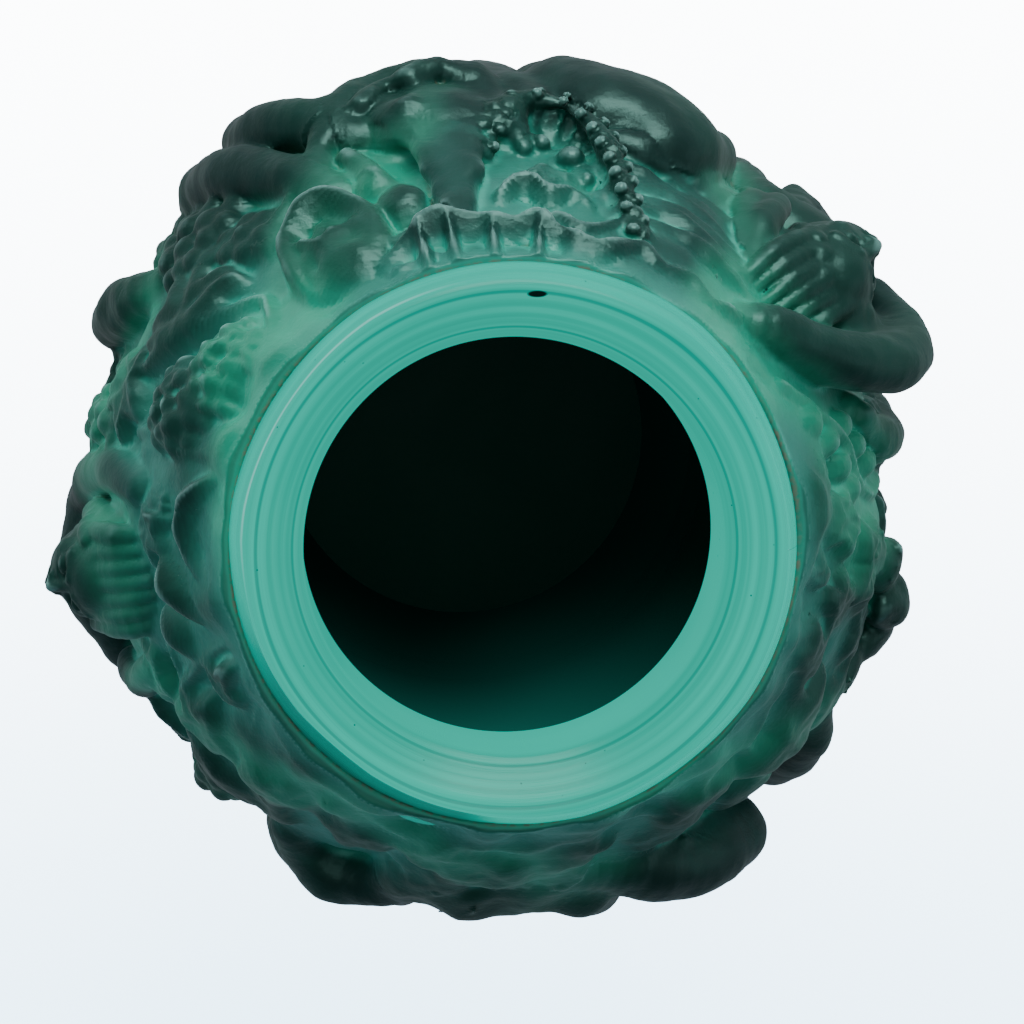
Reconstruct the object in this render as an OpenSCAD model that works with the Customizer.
// Cast glass vase with high figural relief: a round jar with a thick
// polished mouth ring, a plain turned wall and, round it, moulded figures,
// grape clusters, vine leaves and folds of cloth.
// Millimetres, +Z up, origin on the resting face under the centre of the foot.

/* [Body] */
// Overall height from the foot to the crest of the mouth ring
height = 130; // [118:1:142]
// Diameter of the plain wall at the belly, beneath the relief
belly_d = 111; // [106:1:116]
// Diameter of the resting foot
foot_d = 76; // [70:1:80]
// Thickness of the glass wall at the belly
wall_t = 8.5; // [7:0.5:9.5]
// Thickness of the glass floor
floor_t = 12; // [9:0.5:14]

/* [Mouth] */
// Diameter of the clear mouth opening
mouth_d = 56; // [52:1:58]
// Outer diameter of the mouth ring across its crest
ring_d = 72; // [70:1:73]
// How far the ring face slopes inwards, crest to inner edge
ring_dish = 4.5; // [2:0.5:6]
// Length of the straight throat under the ring
throat_l = 14; // [12:1:16]

/* [Relief] */
// Factor on how far figures and leaves stand out from the wall
relief = 1; // [0.85:0.05:1.1]
// Facets round each rounded lump of the relief
lump_fn = 10; // [10:2:16]
// Facets round each small bead, lobe or fold
bead_fn = 6; // [6:2:8]
// Diameter of one grape
grape_d = 6; // [5:0.25:7]
// Gap left between the turned wall and the back of each relief piece
joint_gap = 0.12; // [0.12:0.01:0.2]

/* [Hidden] */

glass_dark  = [0.07, 0.20, 0.17];
glass_mid   = [0.10, 0.30, 0.25];
glass_leaf  = [0.12, 0.38, 0.30];
glass_ring  = [0.21, 0.80, 0.70];

k   = height / 130;          // heights below are given on a 130 mm body
br  = belly_d / 2;
fr  = foot_d / 2;
mr  = mouth_d / 2;
cr  = ring_d / 2;
zr  = 121 * k;               // seam between shoulder and mouth ring
zs  = 97 * k;                // seam between upper wall and shoulder
zb  = 66 * k;                // seam between belly and upper wall
zl  = 33 * k;                // seam between lower wall and belly
turn_fn = 96;

// outer radius of the turned wall as [height share, radius]
wall_table = [
  [0, fr], [0.023, fr + 2], [0.077, fr + (br - fr) * 0.31], [0.192, fr + (br - fr) * 0.63],
  [0.308, fr + (br - fr) * 0.86], [0.423, br - 0.5], [0.538, br], [0.654, br - 1],
  [0.731, br - 3], [0.80, br - 6.5], [0.854, br - 10], [0.90, br - 13.5],
  [0.938, br - 15.9], [0.969, br - 17.2], [1, br - 18]];
function wall_r(z) = lookup(z / height, wall_table);
function wall_tilt(z) = atan2(wall_r(z - 2) - wall_r(z + 2), 4);

// inside radius of the hollow
function hollow_r(z) = lookup(z / height, [
  [floor_t / height, fr - 8], [0.16, fr + 1], [0.25, wall_r(0.25 * height) - wall_t - 1],
  [0.38, wall_r(0.38 * height) - wall_t], [0.54, br - wall_t], [0.66, wall_r(0.66 * height) - wall_t],
  [0.746, wall_r(0.746 * height) - wall_t - 1], [0.80, mr + 9], [0.85, mr + 0.05], [1, mr]]);

module ring_of(z0, z1, steps) {
  dz = (z1 - z0) / steps;
  rotate_extrude($fn = turn_fn)
    polygon(concat([for (i = [0:steps]) [wall_r(z0 + i * dz), z0 + i * dz]],
                   [for (i = [steps:-1:0]) [hollow_r(z0 + i * dz), z0 + i * dz]]));
}

// solid that the back of every relief piece is cut to
module wall_core() {
  n = 15;
  rotate_extrude($fn = turn_fn / 2)
    polygon(concat([[0, -30]], [[fr - 3, -30], [fr - 3, 0]],
                   [for (i = [0:n]) [wall_r(i * height / n) + joint_gap, i * height / n]],
                   [[br - 18 + joint_gap, height + 30], [0, height + 30]]));
}

// ---- relief primitives; a = bearing, z = height on a 130 mm body, out = centre's distance off the wall
module at(a, z, out) {
  zz = z * k;
  t = wall_tilt(zz);
  rotate([0, 0, a]) translate([wall_r(zz) + out * relief * cos(t), 0, zz + out * relief * sin(t)]) children();
}
module ball(r) { sphere(r = r, $fn = r < 3.3 ? bead_fn : lump_fn); }
module lump(a, z, out, r) { at(a, z, out) ball(r); }
module limb(p) {          // p = list of [a, z, out, r]
  for (i = [0:len(p) - 2]) hull() {
    lump(p[i][0], p[i][1], p[i][2], p[i][3]);
    lump(p[i + 1][0], p[i + 1][1], p[i + 1][2], p[i + 1][3]);
  }
}
module sheet_of(p) {      // one hull over several balls
  hull() for (q = p) lump(q[0], q[1], q[2], q[3]);
}
module grapes(a, z, rows, cols, lean) {
  da = grape_d * 0.92 / br * 57.3;
  for (i = [0:rows - 1])
    for (j = [0:max(0, cols - 1 - floor(i / 2))])
      hull() lump(a + (j - (cols - 1) / 2 + (i % 2) * 0.5) * da + lean * i, z - i * grape_d * 0.78, 0.9, grape_d / 2 * 1.08);
}
// rounded raised band that hugs the wall from bearing a0 to a1 and from height z0 to z1
module band(a0, a1, z0, z1, t) {
  n = 6;
  rotate([0, 0, a0]) rotate_extrude(angle = a1 - a0, $fn = turn_fn)
    polygon(concat(
      [for (i = [0:n]) let (z = (z0 + (z1 - z0) * i / n) * k) [wall_r(z) + joint_gap, z]],
      [for (i = [n:-1:0]) let (u = 2 * i / n - 1, z = (z0 + (z1 - z0) * i / n) * k)
        [wall_r(z) + joint_gap + 0.4 + relief * t * sqrt(1 - u * u), z]]));
}
// lobed leaf lying on the wall: lobes fan out from a base point
module leaf(a, z, size, turn, out, t) {
  dirs = [[-100, 0.66], [-52, 0.86], [0, 1], [52, 0.86], [100, 0.66]];
  hull() for (d = dirs) leaf_point(a, z, size * 0.56, turn, d, out, t);
  for (d = dirs) hull() {
    leaf_point(a, z, size * 0.48, turn, d, out + 0.2, t * 1.25);
    leaf_point(a, z, size, turn, d, out - 0.6, t * 0.6);
  }
}
module leaf_point(a, z, reach, turn, d, out, t) {
  tip(a + reach * d[1] * sin(turn + d[0]) / wall_r(z * k) * 57.3, z + reach * d[1] * cos(turn + d[0]), out, t);
}
module tip(a, z, out, r) { at(a, z, out) sphere(r = r, $fn = 6); }
module relief_piece(c) { color(c) difference() { union() children(); wall_core(); } }

// ---- turned glass body
module mouth_ring() {
  color(glass_ring) rotate_extrude($fn = turn_fn)
    polygon([[mr, height - 5 - throat_l + 1], [mr + 5, height - 5 - throat_l + 1], [mr + 5, zr],
             [wall_r(zr), zr], [cr + 2.2, height - 5], [cr + 1.2, height - 2.2], [cr, height - 0.6],
             [cr - 0.8, height], [cr - 1.8, height - 0.3], [mr + 1.4, height - ring_dish + 1],
             [mr + 0.3, height - ring_dish], [mr, height - ring_dish - 0.8]]);
}
module shoulder_wall() {
  color(glass_leaf) difference() {
    ring_of(zs, zr, 8);
    translate([0, 0, height - 5 - throat_l + 1 - 0.01]) cylinder(r = mr + 5.02, h = 60, $fn = turn_fn);
  }
}
module upper_wall() { color(glass_mid) ring_of(zb, zs, 7); }
module belly_wall() { color(glass_mid) ring_of(zl, zb, 7); }
module lower_wall() { color(glass_mid) ring_of(floor_t, zl, 6); }
module foot_disc() {
  color(glass_dark) rotate_extrude($fn = turn_fn)
    polygon(concat([[0, 0], [fr, 0]],
                   [for (i = [1:6]) [wall_r(i * floor_t / 6), i * floor_t / 6]], [[0, floor_t]]));
}

// ---- woman on the right: head with bound hair, bent arm, torso and skirt
module woman_head_right() {
  relief_piece(glass_dark) {
    limb([[40, 100, 4, 7.5], [37, 93, 8, 7], [35, 88, 9, 5]]);
    sheet_of([[44, 99, 5, 6.5], [34, 97, 5, 6.5], [39, 106, 3, 6]]);
    limb([[48, 99, 3, 4.5], [46, 107, 2, 4], [39, 111, 2, 4], [32, 106, 3, 4], [29, 97, 4, 4.5], [30, 88, 4, 4]]);
    limb([[46, 94, 7, 3], [42, 103, 8.5, 3], [35, 103, 8.5, 3], [32, 94, 8, 3]]);
  }
}
module woman_arm_right() {
  relief_piece(glass_dark) {
    limb([[47, 112, 3, 5], [38, 112, 5, 5.2], [30, 109, 7, 5], [23, 106, 9, 4.6], [18, 102, 12, 4.6],
          [17, 94, 13, 4.8], [20, 88, 11, 4.5], [25, 85, 8, 4], [29, 84, 6, 3.5]]);
    limb([[33, 107, 3, 5], [24, 103, 4, 5], [20, 96, 5, 5]]);
  }
}
module woman_torso_right() {
  relief_piece(glass_dark) {
    limb([[36, 85, 5, 4], [36, 79, 4, 6]]);
    limb([[46, 76, 3, 6], [37, 78, 5, 6.5], [28, 76, 3, 6]]);
    limb([[45, 75, 3, 5], [48, 64, 3, 4.5], [46, 56, 4, 4]]);
    limb([[29, 75, 3, 5], [26, 65, 3, 4.5], [30, 56, 4, 4]]);
    sheet_of([[41, 74, 4, 6], [33, 74, 4, 6], [37, 60, 3, 6]]);
    sheet_of([[41, 62, 3, 6], [33, 62, 3, 6], [38, 52, 3, 7]]);
    lump(41, 70, 6, 5); lump(33, 70, 6, 5);
  }
}
module woman_skirt_right() {
  relief_piece(glass_dark) {
    for (f = [[43, 2.8], [36, 4], [29, 2.5]])
      limb([[38 + (f[0] - 36) * 0.6, 50, f[1], 4], [37 + (f[0] - 36) * 1.1, 34, f[1], 4.2],
            [36 + (f[0] - 36) * 1.7, 10, f[1], 4.4]]);
  }
}
// ---- woman on the left: head with waved hair, raised arm, torso, skirt
module woman_head_left() {
  relief_piece(glass_dark) {
    limb([[193, 92, 4, 7.5], [194, 86, 8, 7], [195, 81, 9, 5]]);
    sheet_of([[187, 92, 4, 6.5], [199, 90, 4, 6.5], [192, 99, 2, 6]]);
    limb([[184, 95, 3, 4.2], [186, 103, 2, 4], [193, 105, 2, 4], [200, 100, 2, 4], [204, 91, 3, 4.2], [204, 82, 3, 3.8]]);
    limb([[187, 89, 7, 3], [190, 97, 8, 3], [197, 96, 8, 3], [201, 88, 7, 3]]);
  }
}
module woman_torso_left() {
  relief_piece(glass_dark) {
    limb([[193, 78, 5, 4], [193, 72, 4, 6]]);
    limb([[183, 70, 3, 6], [192, 71, 5, 6.5], [202, 70, 3, 6]]);
    limb([[181, 70, 3, 5], [175, 80, 3, 4.5], [173, 92, 3, 4.2], [172, 101, 2, 4], [176, 108, 2, 3.6]]);
    limb([[203, 69, 3, 5], [206, 60, 3, 4.5], [201, 51, 4, 4]]);
    sheet_of([[188, 67, 4, 6], [197, 67, 4, 6], [192, 54, 3, 6]]);
    lump(188, 63, 6, 5); lump(197, 63, 6, 5);
  }
}
module woman_skirt_left() {
  relief_piece(glass_dark) {
    for (f = [-7, 0, 7])
      limb([[192 + f * 0.6, 51, 3, 4], [192 + f * 1.1, 36, 3.4 - abs(f) * 0.1, 4.2],
            [193 + f * 1.7, 11, 3, 4.4]]);
  }
}
// ---- stooping harvester at the back, seen as a rounded back and a bent leg
module harvester_back() {
  relief_piece(glass_dark) {
    sheet_of([[84, 92, 3, 6], [78, 84, 6, 7], [70, 80, 7, 7], [63, 84, 5, 6]]);
    sheet_of([[80, 97, 2, 6], [70, 96, 3, 7], [62, 92, 3, 6]]);
    sheet_of([[78, 80, 6, 6], [66, 78, 6, 6], [74, 66, 4, 6], [66, 66, 4, 6]]);
    limb([[62, 90, 4, 5], [57, 80, 4, 5], [56, 68, 3, 4.5], [60, 58, 3, 4]]);
    limb([[84, 88, 4, 5], [88, 76, 4, 4.6], [86, 64, 4, 4.2]]);
  }
}
module harvester_legs() {
  relief_piece(glass_dark) {
    limb([[76, 60, 4, 6.5], [80, 46, 6, 6], [78, 30, 4, 5], [77, 14, 3, 4.2], [77, 8, 2, 3.6]]);
    limb([[66, 60, 4, 6.5], [63, 46, 5, 6], [66, 30, 4, 5], [66, 14, 3, 4.2], [66, 8, 2, 3.6]]);
  }
}
module draped_figure_back() {
  relief_piece(glass_dark) {
    sheet_of([[118, 94, 3, 5.5], [110, 84, 5, 6.5], [102, 80, 6, 6.5], [94, 82, 6, 6]]);
    sheet_of([[112, 100, 2, 5], [101, 100, 3, 6], [92, 94, 4, 6]]);
    limb([[104, 92, 6, 5], [102, 102, 4, 4.5], [100, 111, 2, 3.5]]);
    limb([[112, 80, 5, 5], [108, 50, 4, 5.2], [105, 11, 3, 4.2]]);
    limb([[102, 78, 6, 5.5], [99, 50, 5, 5.2], [95, 11, 3, 4.2]]);
    limb([[94, 78, 5, 5], [91, 52, 3, 4.6]]);
  }
}
module knees_back_left() {
  relief_piece(glass_dark) {
    limb([[112, 92, 4, 5], [120, 82, 7, 6], [128, 72, 9, 6], [127, 58, 7, 5], [125, 42, 5, 4.6], [124, 26, 4, 4], [124, 12, 2, 3.6]]);
    limb([[122, 88, 3, 5], [131, 80, 5, 5], [137, 68, 6, 5.4], [138, 52, 5, 4.6], [137, 36, 4, 4.2], [136, 20, 3, 3.8]]);
  }
}
module kneeling_thigh_front() {
  relief_piece(glass_dark) {
    limb([[279, 100, 3, 5], [290, 98, 6, 7], [301, 90, 8, 7], [308, 82, 8, 6.5]]);
    limb([[308, 82, 8, 6.5], [304, 66, 7, 5.5], [299, 50, 5, 5], [296, 34, 4, 4.4], [295, 18, 3, 4], [298, 9, 2, 3.6]]);
    limb([[282, 94, 4, 6], [284, 78, 5, 6], [284, 62, 4, 6]]);
    sheet_of([[284, 86, 4, 6], [294, 80, 5, 6], [288, 64, 4, 6]]);
    limb([[280, 62, 4, 5], [277, 46, 4, 4.6], [278, 30, 3, 4.2], [279, 14, 3, 4]]);
  }
}
module kneeling_leg_front_left() {
  relief_piece(glass_dark) {
    limb([[236, 96, 3, 5], [246, 92, 7, 6], [256, 94, 7, 6], [262, 99, 4, 5]]);
    limb([[246, 92, 7, 6], [243, 78, 6, 5.5], [240, 62, 5, 5], [240, 46, 4, 4.6], [241, 30, 3, 4.2], [240, 12, 2, 4]]);
    limb([[257, 92, 6, 5.5], [259, 76, 5, 5.4], [258, 58, 4, 5], [256, 40, 3, 4.6], [255, 22, 3, 4]]);
  }
}
module low_leg_right() {
  relief_piece(glass_dark) {
    limb([[330, 84, 5, 5], [322, 78, 7, 5.5], [316, 70, 7, 5.5], [317, 56, 5, 5], [320, 42, 4, 4.6],
          [322, 28, 3, 4.2], [323, 12, 2, 4]]);
    limb([[336, 78, 4, 5], [334, 62, 5, 5.4], [332, 46, 4, 5], [333, 28, 3, 4.4]]);
  }
}
// ---- cloth
module cloak_folds() {
  relief_piece(glass_mid) {
    for (f = [0:3])
      limb([[72 - f * 4, 111 - f * 1, 1.2, 2.6], [66 - f * 4, 105, 1.6, 3], [60 - f * 3, 97, 2, 3.2],
            [55 - f * 2, 87, 2, 3]]);
  }
}
module rim_pleats() {
  color(glass_mid) {
    band(42, 113, 115.5, 120.8, 3);
    for (a = [80:7:108]) band(a, a + 3.4, 107, 114.9, 2.4);
  }
}
// ---- grapes
module grape_arch_back() {
  relief_piece(glass_mid) {
    for (a = [92, 87, 82, 77, 72.5]) hull() lump(a, 100, 1.8, 3.4);
    for (q = [[69.5, 104], [68, 108.5], [67, 113], [67, 117.5]]) hull() lump(q[0], q[1], 1.4, 3.2);
    for (q = [[84, 106], [78.5, 106], [81, 110.5], [75, 110.5]]) hull() lump(q[0], q[1], 0.6, 3.2);
  }
}
module grapes_back_left() { relief_piece(glass_mid) { grapes(137, 97, 7, 4, 1.1); } }
module grapes_rim_left() { relief_piece(glass_mid) { grapes(154, 118, 6, 4, 0.6); } }
// ---- leaves
module curled_leaf() {
  relief_piece(glass_leaf) {
    limb([[127, 109, 2, 3.6], [122, 114, 3.4, 4], [116, 118, 3, 3.8], [111, 117, 2, 3.4]]);
    limb([[124, 105, 1.6, 3.4], [117, 104, 2, 3.8], [110, 108, 2, 3.6]]);
    sheet_of([[122, 110, 2, 3.6], [115, 112, 2.4, 3.8], [118, 106, 1.6, 3.4]]);
    lump(106, 113, 1.2, 3);
    lump(131, 112, 0.6, 3);
  }
}
module broad_leaf_left() {
  relief_piece(glass_leaf) {
    leaf(151, 97, 19, 40, 1, 2.8);
    leaf(160, 88, 17, 150, 1, 2.6);
    limb([[146, 74, 2, 4.4], [152, 66, 4, 4.6], [155, 54, 4, 4.4], [157, 42, 3, 4]]);
    grapes(168, 82, 5, 2, -0.8);
  }
}
module leaves_front_left() {
  relief_piece(glass_leaf) {
    leaf(211, 112, 15, 20, 1, 2.4);
    leaf(224, 102, 18, 200, 1.6, 2.6);
    leaf(214, 88, 16, 160, 2, 2.6);
    limb([[190, 121, 0.8, 2.4], [197, 116, 1.2, 2.8], [200, 108, 1.4, 2.6]]);
  }
}
module leaves_front() {
  relief_piece(glass_leaf) {
    leaf(262, 113, 15, 90, 1.2, 2.4);
    leaf(274, 98, 19, 190, 2.4, 2.8);
  }
}
module leaves_front_right() {
  relief_piece(glass_leaf) {
    leaf(311, 112, 17, 100, 1.2, 2.6);
    leaf(325, 104, 18, 150, 2, 2.8);
  }
}
module leaves_right() {
  relief_piece(glass_leaf) {
    leaf(352, 102, 17, 170, 2, 2.8);
    leaf(342, 94, 14, 130, 2.4, 2.8);
    limb([[352, 92, 5, 4.6], [347, 88, 6, 4.6]]);
    limb([[345, 84, 4, 4.2], [341, 79, 4, 4]]);
  }
}
module vine_stems_right() {
  relief_piece(glass_mid) {
    limb([[27, 119, 0.6, 2.2], [19, 114, 1, 2.6], [12, 109, 1.4, 2.6], [6, 104, 1.4, 2.6], [3, 96, 1.4, 2.6], [4, 84, 1.4, 2.6]]);
    limb([[14, 101, 2, 3.4], [9, 94, 2.4, 3.6], [10, 84, 2.4, 3.6], [12, 72, 2, 3.4], [12, 58, 2, 3.2]]);
    for (q = [[21, 111], [16, 108], [11, 104], [8, 99]]) lump(q[0], q[1], 1.6, 2.8);
  }
}
// ---- low garlands of leaves and grapes above the foot
module low_garland_back() {
  relief_piece(glass_mid) {
    grapes(151, 34, 4, 3, 0);
    leaf(172, 34, 15, 170, 1, 2.6);
    leaf(14, 40, 15, 190, 1, 2.6);
  }
}
module low_garland_front() {
  relief_piece(glass_mid) {
    grapes(222, 40, 4, 3, 0);
    leaf(213, 66, 15, 180, 1.4, 2.6);
    leaf(345, 58, 15, 200, 1.4, 2.6);
  }
}

mouth_ring();
shoulder_wall();
upper_wall();
belly_wall();
lower_wall();
foot_disc();
woman_head_right();
woman_arm_right();
woman_torso_right();
woman_skirt_right();
woman_head_left();
woman_torso_left();
woman_skirt_left();
harvester_back();
harvester_legs();
draped_figure_back();
knees_back_left();
kneeling_thigh_front();
kneeling_leg_front_left();
low_leg_right();
cloak_folds();
rim_pleats();
grape_arch_back();
grapes_back_left();
grapes_rim_left();
curled_leaf();
broad_leaf_left();
leaves_front_left();
leaves_front();
leaves_front_right();
leaves_right();
vine_stems_right();
low_garland_back();
low_garland_front();
